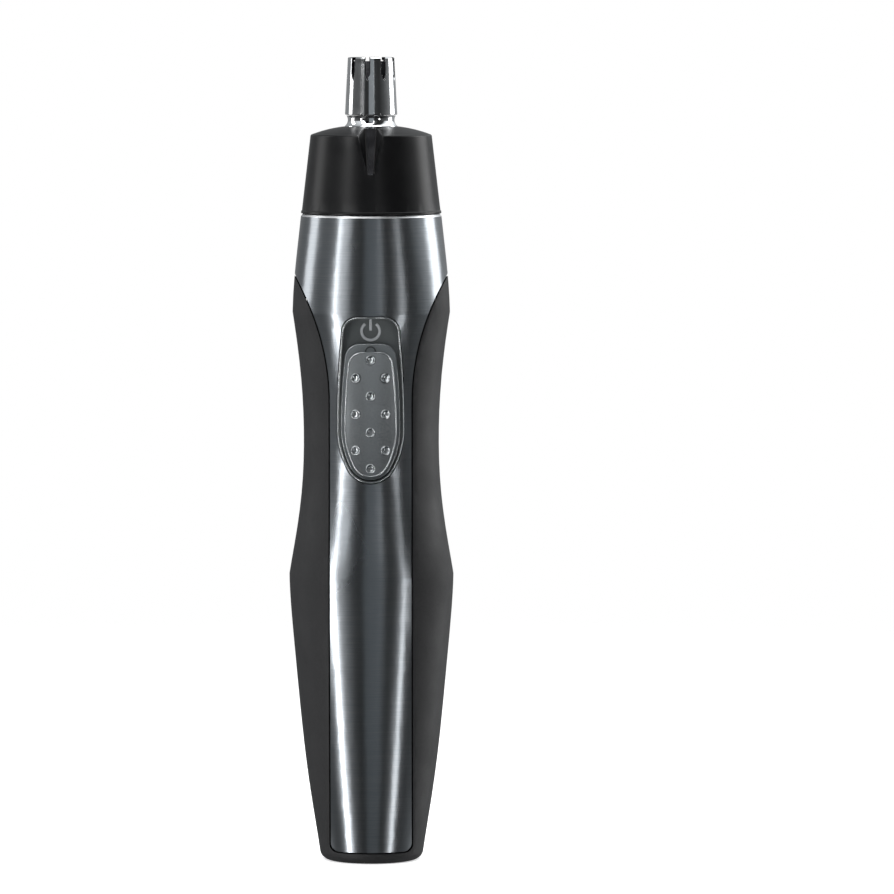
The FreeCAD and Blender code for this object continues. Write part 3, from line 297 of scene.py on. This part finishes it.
def brushed_shell(name, dark=(0.21, 0.225, 0.24), light=(0.27, 0.285, 0.30)):
    """Dark satin steel with fine brushing that runs round the handle, and a bright band along its top
    chamfer: a polished chamfer made brighter as a painted highlight.
    """
    graph = Graph(name)
    streaks = graph.noise(1.0, 4.0, (160, 160, 15000))
    patches = graph.noise(1.0, 2.0, (60, 60, 25))
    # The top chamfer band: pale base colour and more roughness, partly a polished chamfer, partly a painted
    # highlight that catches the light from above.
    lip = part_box("steel_sleeve")[1].z - LIP_HEIGHT * MM
    lip_highlight_mask = graph.level(graph.axis("Z"), 0.0, 1.0, lip - 0.02 * MM, lip + 0.02 * MM)
    steel = graph.blend(graph.level(streaks, 0.0, 1.0), dark, light)
    graph.link(graph.blend(lip_highlight_mask, steel, (0.86, 0.87, 0.88)), graph.shader.inputs["Base Color"])
    rough = graph.tree.nodes.new("ShaderNodeMath")
    rough.operation = "MULTIPLY_ADD"
    rough.inputs[1].default_value = 0.2
    graph.link(lip_highlight_mask, rough.inputs[0])
    graph.link(graph.level(patches, 0.27, 0.31), rough.inputs[2])
    graph.link(rough.outputs[0], graph.shader.inputs["Roughness"])
    graph.set(Metallic=1.0, Anisotropic=0.8, Anisotropic_Rotation=0.25)
    tangent = graph.tree.nodes.new("ShaderNodeTangent")
    tangent.direction_type = "RADIAL"
    tangent.axis = "Z"
    graph.link(tangent.outputs[0], graph.shader.inputs["Tangent"])
    graph.bump(streaks, 0.05, 0.01)
    return graph.material


def rubber(name, dark, light, rough=(0.55, 0.68), grain=7000.0, depth=0.02):
    """Matte moulded rubber with a fine spark-eroded grain."""
    graph = Graph(name)
    fine = graph.noise(grain, 2.0)
    broad = graph.noise(120.0, 3.0)
    graph.link(graph.blend(graph.level(fine, 0.0, 1.0), dark, light), graph.shader.inputs["Base Color"])
    graph.link(graph.level(broad, *rough), graph.shader.inputs["Roughness"])
    graph.set(Specular_IOR_Level=0.28)
    graph.bump(fine, 0.35, depth)
    return graph.material


def plastic(name, dark, light, rough=(0.3, 0.42), coat=0.0, grain=2600.0, depth=0.006, shine=0.5):
    """Moulded plastic: slight mottling, soft polish variation and a faint mould texture."""
    graph = Graph(name)
    fine = graph.noise(grain, 3.0)
    broad = graph.noise(140.0, 4.0)
    graph.link(graph.blend(graph.level(broad, 0.0, 1.0), dark, light), graph.shader.inputs["Base Color"])
    graph.link(graph.level(broad, *rough), graph.shader.inputs["Roughness"])
    graph.set(Coat_Weight=coat, Coat_Roughness=0.08, Specular_IOR_Level=shine)
    graph.bump(fine, 0.2, depth)
    return graph.material


def metal(name, dark, light, rough=(0.18, 0.3), stretch=(1, 1, 1), grain=900.0, depth=0.004):
    """Plated or machined metal: faint tool marks and handling smudges."""
    graph = Graph(name)
    marks = graph.noise(grain, 4.0, stretch)
    smudge = graph.noise(160.0, 3.0)
    graph.link(graph.blend(graph.level(marks, 0.0, 1.0), dark, light), graph.shader.inputs["Base Color"])
    graph.link(graph.level(smudge, *rough), graph.shader.inputs["Roughness"])
    graph.set(Metallic=1.0)
    graph.bump(marks, 0.15, depth)
    return graph.material


def guard_chrome(name):
    """Polished plating outside, with painted shade: near black on the inside wall where the blade runs."""
    graph = Graph(name)
    smudge = graph.noise(160.0, 3.0)
    marks = graph.noise(500.0, 4.0)
    flat = graph.tree.nodes.new("ShaderNodeVectorMath")
    flat.operation = "MULTIPLY"
    flat.inputs[1].default_value = (1, 1, 0)
    graph.link(graph.place.outputs["Object"], flat.inputs[0])
    reach = graph.tree.nodes.new("ShaderNodeVectorMath")
    reach.operation = "LENGTH"
    graph.link(flat.outputs[0], reach.inputs[0])
    # Painted shade: the inside wall of the guard is near black, standing in for the shade inside it.
    outside = graph.level(reach.outputs["Value"], 0.0, 1.0, 3.62 * MM, 3.72 * MM)
    plate = graph.blend(graph.level(marks, 0.0, 1.0), (0.74, 0.75, 0.76), (0.84, 0.85, 0.86))
    graph.link(graph.blend(outside, (0.03, 0.03, 0.032), plate), graph.shader.inputs["Base Color"])
    graph.link(graph.level(smudge, 0.07, 0.12), graph.shader.inputs["Roughness"])
    graph.set(Metallic=1.0)
    graph.bump(marks, 0.05, 0.002)
    return graph.material


def slider_plastic(name):
    """Smoky metallic plastic under a glossy coat, with painted light that makes it paler at the top left and
    darker at the bottom right.
    """
    graph = Graph(name)
    flake = graph.noise(5200.0, 2.0)
    broad = graph.noise(90.0, 2.0)
    # Painted light: the tint runs from the shaded colour at the bottom right to the lit colour at the top
    # left, as if lit from the top left.
    low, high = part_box("slider_cap")
    rise = graph.level(graph.axis("Z"), 0.0, 1.0, low.z, high.z)
    across = graph.level(graph.axis("X"), 0.0, 1.0, high.x * 1.2, low.x * 1.2)
    both = graph.tree.nodes.new("ShaderNodeMath")
    both.operation = "MULTIPLY_ADD"
    both.inputs[1].default_value = 0.72
    graph.link(rise, both.inputs[0])
    part = graph.tree.nodes.new("ShaderNodeMath")
    part.operation = "MULTIPLY"
    part.inputs[1].default_value = 0.28
    graph.link(across, part.inputs[0])
    graph.link(part.outputs[0], both.inputs[2])
    painted_light_tint = graph.blend(both.outputs[0], (0.05, 0.054, 0.058), (0.19, 0.205, 0.212))
    sparkle = graph.blend(graph.level(flake, 0.0, 0.22), painted_light_tint, (0.32, 0.34, 0.35))
    graph.link(sparkle, graph.shader.inputs["Base Color"])
    graph.link(graph.level(broad, 0.26, 0.34), graph.shader.inputs["Roughness"])
    graph.set(Metallic=0.55, Coat_Weight=0.6, Coat_Roughness=0.06)
    graph.bump(flake, 0.06, 0.004)
    return graph.material


def clear_lens(name, dark, light):
    """Clear moulded acrylic with a milky trace."""
    graph = Graph(name)
    haze = graph.noise(400.0, 3.0)
    graph.link(graph.blend(graph.level(haze, 0.0, 1.0), dark, light), graph.shader.inputs["Base Color"])
    graph.link(graph.level(haze, 0.05, 0.14), graph.shader.inputs["Roughness"])
    graph.set(IOR=1.49, Transmission_Weight=0.55)
    return graph.material


MATERIALS = {
    "brushed_shell": brushed_shell("brushed_shell"),
    "grip_rubber": rubber("grip_rubber", (0.004, 0.004, 0.0045), (0.012, 0.012, 0.013)),
    "black_plastic": plastic("black_plastic", (0.012, 0.012, 0.013), (0.026, 0.026, 0.028)),
    "bezel_plastic": plastic("bezel_plastic", (0.036, 0.04, 0.041), (0.054, 0.059, 0.06), (0.3, 0.38), 0.15),
    "slider_plastic": slider_plastic("slider_plastic"),
    "head_black": plastic("head_black", (0.003, 0.003, 0.0033), (0.006, 0.006, 0.0063), (0.3, 0.34),
                          grain=4200.0, depth=0.002, shine=0.17),
    "polished_chrome": metal("polished_chrome", (0.78, 0.79, 0.8), (0.88, 0.89, 0.9), (0.03, 0.09),
                             grain=500.0),
    "blade_steel": metal("blade_steel", (0.42, 0.43, 0.44), (0.66, 0.67, 0.68), (0.18, 0.3), (1, 1, 8)),
    "zinc_steel": metal("zinc_steel", (0.46, 0.46, 0.47), (0.62, 0.62, 0.63), (0.22, 0.38)),
    "contact_brass": metal("contact_brass", (0.62, 0.44, 0.16), (0.84, 0.65, 0.3), (0.16, 0.32)),
    "copper_wire": metal("copper_wire", (0.5, 0.2, 0.08), (0.78, 0.38, 0.18), (0.2, 0.36), (1, 1, 9)),
    "core_steel": metal("core_steel", (0.16, 0.16, 0.17), (0.36, 0.36, 0.37), (0.3, 0.45), (1, 1, 12)),
    "magnet_grey": rubber("magnet_grey", (0.07, 0.07, 0.075), (0.13, 0.13, 0.14), (0.5, 0.7), 3000.0, 0.01),
    "motor_plastic": plastic("motor_plastic", (0.62, 0.6, 0.54), (0.74, 0.72, 0.66)),
    "lead_red": plastic("lead_red", (0.42, 0.025, 0.02), (0.58, 0.05, 0.04)),
    "board_green": plastic("board_green", (0.012, 0.09, 0.035), (0.03, 0.17, 0.07), (0.2, 0.34), 0.4),
    "can_aluminium": metal("can_aluminium", (0.6, 0.61, 0.62), (0.8, 0.81, 0.82), (0.2, 0.34)),
    "battery_film": plastic("battery_film", (0.03, 0.032, 0.036), (0.06, 0.062, 0.068), (0.16, 0.26), 0.5),
    "lamp_clear": clear_lens("lamp_clear", (0.78, 0.81, 0.83), (0.9, 0.92, 0.94)),
    "seal_rubber": rubber("seal_rubber", (0.012, 0.012, 0.012), (0.028, 0.028, 0.028)),
}


# The light window's lens, dark in place of its clear slot: painted shade in the chute.
SHADED_WINDOW_LENS = clear_lens("window_lens_painted_shade", (0.03, 0.03, 0.033), (0.06, 0.06, 0.066))
PALE_MARK = plastic("pale_mark", (0.2, 0.21, 0.22), (0.28, 0.29, 0.3), (0.3, 0.4))
# Bright metal for beads on the dark switch's edges: painted highlights along those edges.
EDGE_HIGHLIGHT_METAL = metal("edge_painted_highlight", (0.42, 0.44, 0.45), (0.56, 0.58, 0.59), (0.16, 0.26))
GUARD_CHROME = guard_chrome("guard_chrome")
# The cutter's steel, darker than its blade steel slot: painted shade inside the guard, so that the slots read
# dark.
SHADED_BLADE = metal("blade_painted_shade", (0.035, 0.035, 0.038), (0.09, 0.09, 0.095), (0.3, 0.42), (1, 1, 8))
# Glossy metal for the slider's dimples, brighter than the slider: painted sheen in the cups.
CUP_SHEEN_METAL = metal("cup_painted_sheen", (0.36, 0.38, 0.39), (0.5, 0.52, 0.53), (0.1, 0.2))


def dress_cad_nodes():
    """Give every CAD node the material of its slot; the light window and the cutter then get darker materials
    as painted shade.
    """
    for entry in frame["record"]["subparts"]:
        node = NODES[entry["node"]]
        node.data.materials.clear()
        node.data.materials.append(MATERIALS[entry["material_slot"]])
    # Painted shade: the light window gets a dark lens in place of its clear one.
    NODES["light_window"].data.materials[0] = SHADED_WINDOW_LENS
    # Painted shade: the cutter gets a darker steel than its slot.
    NODES["cutter_rotor"].data.materials[0] = SHADED_BLADE


# How far each edge is rounded, in millimetres.
EDGE_ROUNDS = {"cutter_rotor": 0.05, "soft_grip": 0.1, "head_housing": 0.06}
EDGE_ANGLE = 35


def round_cad_edges():
    """Break the sharp edges of the CAD nodes that show, so that they catch the light."""
    for name, width in EDGE_ROUNDS.items():
        node = NODES[name]
        weld = node.modifiers.new("weld", "WELD")
        weld.merge_threshold = 0.002 * MM
        bevel = node.modifiers.new("bevel", "BEVEL")
        bevel.width = width * MM
        bevel.segments = 2
        bevel.limit_method = "ANGLE"
        bevel.angle_limit = math.radians(EDGE_ANGLE)
        bevel.harden_normals = True


# ---- pieces -----------------------------------------------------------------------------------

def add_piece(name, points, faces, body, material, smooth_angle=40):
    """A mesh from points in millimetres, riding on a body."""
    mesh = bpy.data.meshes.new(name)
    mesh.from_pydata([Vector(point) * MM for point in points], [], faces)
    mesh.materials.append(material)
    form = bmesh.new()
    form.from_mesh(mesh)
    bmesh.ops.recalc_face_normals(form, faces=form.faces)
    form.to_mesh(mesh)
    form.free()
    piece = bpy.data.objects.new(name, mesh)
    bpy.context.scene.collection.objects.link(piece)
    mesh.shade_smooth()
    mesh.set_sharp_from_angle(angle=math.radians(smooth_angle))
    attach(piece, body)
    return piece


def swept_strip(path, half, low, high, closed=False):
    """Points and faces of a raised band: a trapezoid of half width, between two depths, along path.

    The path is a list of (x, z), and the band stands out towards -Y from low to high."""
    shoulder = 0.7
    points, faces = [], []
    count = len(path)
    for index, (x, z) in enumerate(path):
        before = path[index - 1] if closed or index else path[index]
        after = path[(index + 1) % count] if closed or index < count - 1 else path[index]
        along = Vector((after[0] - before[0], after[1] - before[1])).normalized()
        side = Vector((-along.y, along.x))
        for width, depth in ((-half, low), (-half * shoulder, high), (half * shoulder, high), (half, low)):
            points.append((x + side.x * width, -depth, z + side.y * width))
    for index in range(count if closed else count - 1):
        a, b = 4 * index, 4 * ((index + 1) % count)
        faces += [(a + k, a + (k + 1) % 4, b + (k + 1) % 4, b + k) for k in range(4)]
    if not closed:
        faces += [(0, 1, 2, 3), tuple(range(4 * count - 1, 4 * count - 5, -1))]
    return points, faces


def nearest_front(node):
    """A function that gives the front-most point and normal of a CAD node at (x, z), in millimetres."""
    mesh = NODES[node].data
    tree = BVHTree.FromPolygons([v.co for v in mesh.vertices], [p.vertices for p in mesh.polygons])
    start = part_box(node)[0].y - 0.01

    def find(x, z):
        place, normal, _, _ = tree.ray_cast(Vector((x * MM, start, z * MM)), Vector((0, 1, 0)))
        return place / MM, normal
    return find


def arc_points(centre, radius, start, end, steps=16):
    """Points on a circle from one angle to another, both in radians, the last one left out."""
    turns = [start + (end - start) * step / steps for step in range(steps)]
    return [(centre[0] + radius * math.cos(t), centre[1] + radius * math.sin(t)) for t in turns]


def badge_path(node, form, inset, drop=0.0):
    """The switch's shield outline, drawn in by inset, as a closed loop of (x, z)."""
    low, high = (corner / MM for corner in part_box(node))
    width = high.x - inset
    nose = form["nose_radius"] - inset
    rise = form["widest"] - low.z - form["nose_radius"]
    bow = (rise ** 2 + width ** 2 - nose ** 2) / (2 * (width - nose))
    top = high.z - inset - drop
    corner = form["corner"] - inset / 2
    shoulder = form["shoulder"] - inset
    climb = top - corner - form["widest"]
    side = (climb ** 2 + (width - shoulder) ** 2) / (2 * (width - shoulder))
    meet = math.asin(rise / (bow - nose))
    right = arc_points((0, form["widest"] - rise), nose, -math.pi / 2, -meet, 14)
    right += arc_points((width - bow, form["widest"]), bow, -meet, 0, 14)
    right += arc_points((width - side, form["widest"]), side, 0, math.asin(climb / side), 20)
    right += arc_points((shoulder - corner, top - corner), corner, 0, math.pi / 2, 14)
    right += [(shoulder - corner, top), ((shoulder - corner) / 2, top), (0, top)]
    return right + [(-x, z) for x, z in reversed(right[1:-1])]


def bead(name, path, node, radius, body, material, sunk=0.35):
    """A thin round bead that lies along a closed path on the front of a CAD node."""
    surface = nearest_front(node)
    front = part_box(node)[0].y / MM
    sides = 10
    points, faces = [], []
    count = len(path)
    for index, (x, z) in enumerate(path):
        before, after = path[index - 1], path[(index + 1) % count]
        along = Vector((after[0] - before[0], 0, after[1] - before[1])).normalized()
        across = Vector((along.z, 0, -along.x))
        centre = surface(x, z)[0] + Vector((0, sunk * radius, 0))
        centre.y = max(centre.y, front + radius)
        for side in range(sides):
            turn = 2 * math.pi * side / sides
            outward = Vector((0, -radius * math.sin(turn), 0))
            points.append(centre + across * (radius * math.cos(turn)) + outward)
    for index in range(count):
        a, b = sides * index, sides * ((index + 1) % count)
        faces += [(a + k, a + (k + 1) % sides, b + (k + 1) % sides, b + k) for k in range(sides)]
    return add_piece(name, points, faces, body, material, 60)


def lathe(profile, place, normal, sides=28):
    """A closed turned form from (radius, height) pairs that begin and end on the axis."""
    turn = Vector((0, 0, 1)).rotation_difference(normal)
    points, faces = [place + turn @ Vector((0, 0, profile[0][1]))], []
    for radius, height in profile[1:-1]:
        for side in range(sides):
            angle = 2 * math.pi * side / sides
            points.append(place + turn @ Vector((radius * math.cos(angle), radius * math.sin(angle), height)))
    points.append(place + turn @ Vector((0, 0, profile[-1][1])))
    last = len(points) - 1
    for side in range(sides):
        following = (side + 1) % sides
        faces.append((0, 1 + side, 1 + following))
        for ring in range(len(profile) - 3):
            a, b = 1 + ring * sides, 1 + (ring + 1) * sides
            faces.append((a + side, b + side, b + following, a + following))
        faces.append((last, last - sides + following, last - sides + side))
    return points, faces


RECESS = {"widest": 73.3, "nose_radius": 4.4, "shoulder": 4.85, "corner": 2.6}
SLIDER = {"widest": 73.3, "nose_radius": 3.7, "shoulder": 4.3, "corner": 2.5}
PLATEAU_INSET = 0.55
PLATEAU_DROP = 0.75
DIMPLE_LOW = 66.75
DIMPLE_PITCH = 6.03
DIMPLE_X = 2.5
# How far behind the front of the slider a cup's middle stays, so that its rim is not in front of it.
CUP_STAND = 0.15


# The guard's wall in millimetres; "turn" is the azimuth of the first slot in degrees, "step" is the
# height of the wall's foot over the bottom of the CAD node, and "vee" is the slot's pointed part.
GUARD = {
    "teeth": 9, "turn": -8.0, "foot": 4.37, "rim": 3.9, "bevel": 0.15, "step": 2.3, "inner_low": 3.74,
    "inner_high": 3.4, "rim_bore": 2.9, "rim_depth": 0.5, "slot": 0.47, "depth": 2.75, "vee": 1.2,
}


def guard_rows(low, top):
    """Rows from foot to rim: outer height and radius, inner height and radius, and slot half width."""
    g = GUARD
    wall_top = top - g["rim_depth"]

    def outer(z):
        return g["foot"] + (g["rim"] - g["foot"]) * (z - low) / (top - g["bevel"] - low)

    def inner(z):
        return g["inner_low"] + (g["inner_high"] - g["inner_low"]) * (z - low) / (wall_top - low)

    tip = top - g["depth"] - g["vee"]
    rows = [(low, g["foot"] - 0.08, low, inner(low), 0), (low + 0.12, g["foot"], low + 0.12, inner(low), 0)]
    rows += [(z, outer(z), z, inner(z), 0) for z in (low + (tip - low) * k / 8 for k in range(1, 9))]
    for k in range(1, 7):
        z = tip + g["vee"] * k / 6
        rows.append((z, outer(z), z, inner(z), g["slot"] * k / 6))
    for k in range(1, 5):
        z = tip + g["vee"] + (wall_top - tip - g["vee"]) * k / 4
        rows.append((z, outer(z), z, inner(z), g["slot"]))
    rows.append((wall_top + 0.01, outer(wall_top), wall_top, g["rim_bore"], g["slot"]))
    rows.append((top - g["bevel"], g["rim"], top - g["bevel"], g["rim_bore"], g["slot"]))
    rows.append((top, g["rim"] - g["bevel"], top, g["rim_bore"], g["slot"]))
    return rows


def make_guard():
    """The polished guard: nine teeth between slots with V bottoms, as one closed wall.

    The spigot below its foot is left out, as the collar hides it."""
    cad_low, cad_high = (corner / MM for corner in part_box("guard_barrel"))
    rows = guard_rows(cad_low.z + GUARD["step"], cad_high.z)
    columns = 12
    points, faces, index = [], [], {}

    def corner(tooth, row, column, inside):
        outer_z, outer_r, inner_z, inner_r, slot = rows[row]
        z, radius = (inner_z, inner_r) if inside else (outer_z, outer_r)
        edge = math.asin(min(1.0, slot / radius))
        pitch = 2 * math.pi / GUARD["teeth"]
        angle = math.radians(GUARD["turn"]) + pitch * tooth + edge + (pitch - 2 * edge) * column / columns
        shared = slot == 0 and column == columns
        key = ((tooth + 1) % GUARD["teeth"], row, 0, inside) if shared else (tooth, row, column, inside)
        if key not in index:
            index[key] = len(points)
            points.append((radius * math.sin(angle), -radius * math.cos(angle), z))
        return index[key]

    last = len(rows) - 1
    for tooth in range(GUARD["teeth"]):
        for row in range(last):
            for column in range(columns):
                for inside in (False, True):
                    faces.append([corner(tooth, row + up, column + right, inside)
                                  for up, right in ((0, 0), (0, 1), (1, 1), (1, 0))])
            if rows[row + 1][4]:
                for column in (0, columns):
                    side = [corner(tooth, row, column, False), corner(tooth, row + 1, column, False),
                            corner(tooth, row + 1, column, True), corner(tooth, row, column, True)]
                    faces.append(side)
        for row in (0, last):
            for column in range(columns):
                faces.append([corner(tooth, row, column, False), corner(tooth, row, column + 1, False),
                              corner(tooth, row, column + 1, True), corner(tooth, row, column, True)])
    guard = add_piece("guard_teeth", points, faces, "head", GUARD_CHROME, 35)
    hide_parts("guard_barrel")
    bevel = guard.modifiers.new("bevel", "BEVEL")
    bevel.width = 0.06 * MM
    bevel.segments = 2
    bevel.limit_method = "ANGLE"
    bevel.angle_limit = math.radians(EDGE_ANGLE)
    bevel.harden_normals = True


def make_switch_trim():
    """Beads of bright metal on the edges of the recess and of the slider as painted highlights, and the
    slider's glossy cups, brighter than the slider as painted sheen.
    """
    recess = badge_path("switch_bezel", RECESS, 0.17)
    skirt = badge_path("slider_cap", SLIDER, 0.1)
    plateau = badge_path("slider_cap", SLIDER, PLATEAU_INSET + 0.14, PLATEAU_DROP)
    # Painted highlights: bright metal beads along the recess's edge, the slider's skirt and its raised top.
    bead("recess_rim", recess, "switch_bezel", 0.1, "handle", EDGE_HIGHLIGHT_METAL)
    bead("slider_skirt_rim_highlight", skirt, "slider_cap", 0.07, "switch", EDGE_HIGHLIGHT_METAL)
    bead("slider_rim_highlight", plateau, "slider_cap", 0.12, "switch", EDGE_HIGHLIGHT_METAL)
    places = [(0, DIMPLE_LOW + DIMPLE_PITCH * step) for step in range(4)]
    for side in (-1, 1):
        places += [(side * DIMPLE_X, DIMPLE_LOW + DIMPLE_PITCH * (step + 0.5)) for step in range(3)]
    surface = nearest_front("slider_cap")
    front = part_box("slider_cap")[0].y / MM
    cup = [(0, -0.3), (0.14, -0.29), (0.3, -0.25), (0.45, -0.16), (0.56, -0.03), (0.63, 0.05), (0.7, 0.08),
           (0.77, 0.06), (0.82, 0.0), (0.82, -0.06), (0.6, -0.2), (0.3, -0.34), (0, -0.38)]
    # Each dimple gets a cup of brighter metal than the slider, as painted sheen.
    for index, (x, z) in enumerate(places):
        rim = [surface(x + dx, z + dz)[0] for dx, dz in ((1, 0), (-1, 0), (0, 1), (0, -1))]
        normal = (rim[0] - rim[1]).cross(rim[2] - rim[3]).normalized()
        place = (rim[2] + rim[3]) / 2
        place.y = max(place.y, front + CUP_STAND)
        points, faces = lathe(cup, place, normal if normal.y < 0 else -normal)
        add_piece(f"dimple_cup_{index}", points, faces, "switch", CUP_SHEEN_METAL, 70)


def make_indicator():
    """The half-round position mark where the slider's skirt meets its raised part."""
    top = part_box("slider_cap")[1].z / MM - PLATEAU_DROP - PLATEAU_INSET
    front = -nearest_front("slider_cap")(0, top + 0.3)[0].y
    radius = 0.82
    turns = [math.pi * step / 18 for step in range(19)]
    arc = [(radius * math.cos(turn), top + radius * math.sin(turn)) for turn in turns]
    points, faces = swept_strip(arc, 0.16, front - 0.03, front + 0.09)
    add_piece("position_mark", points, faces, "switch", MATERIALS["bezel_plastic"])


# The seam over each grip, from its top down, as distances from the middle and heights.
SEAM = ((12.5, 98.3), (12.3, 97.8), (11.68, 96.6), (11.15, 95.5), (10.75, 94.6))


def make_seam_fillers():
    """Dark strips deep in the seam over each grip, so that no daylight shows through it."""
    for name, side in (("seam_filler_left", -1), ("seam_filler_right", 1)):
        path = [(side * x, z) for x, z in SEAM]
        points, faces = swept_strip(path, 0.35, -0.6, 0.6)
        add_piece(name, points, faces, "handle", MATERIALS["black_plastic"])


def make_power_symbol():
    """The generic power sign, moulded on the floor of the switch recess above the slider."""
    slider_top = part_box("slider_cap")[1].z / MM
    recess_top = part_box("switch_bezel")[1].z / MM
    floor = -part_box("slider_cap")[1].y / MM - 0.1
    middle = (slider_top + recess_top) / 2 - 0.15
    radius, half, gap = 1.5, 0.24, 38
    steps = 40
    arc = []
    for step in range(steps + 1):
        turn = math.radians(gap + (360 - 2 * gap) * step / steps)
        arc.append((radius * math.sin(turn), middle + radius * math.cos(turn)))
    points, faces = swept_strip(arc, half, floor - 0.02, floor + 0.06)
    bar = [(0, middle + 0.1), (0, middle + 2.0)]
    bar_points, bar_faces = swept_strip(bar, half, floor - 0.02, floor + 0.06)
    shift = len(points)
    points += bar_points
    faces += [tuple(index + shift for index in face) for face in bar_faces]
    add_piece("power_symbol", points, faces, "handle", PALE_MARK)


make_camera()
make_lights()
make_world()
make_floor()
dress_cad_nodes()
round_cad_edges()
make_guard()
make_seam_fillers()
make_power_symbol()
make_switch_trim()
make_indicator()
bpy.context.scene.view_settings.view_transform = "Standard"
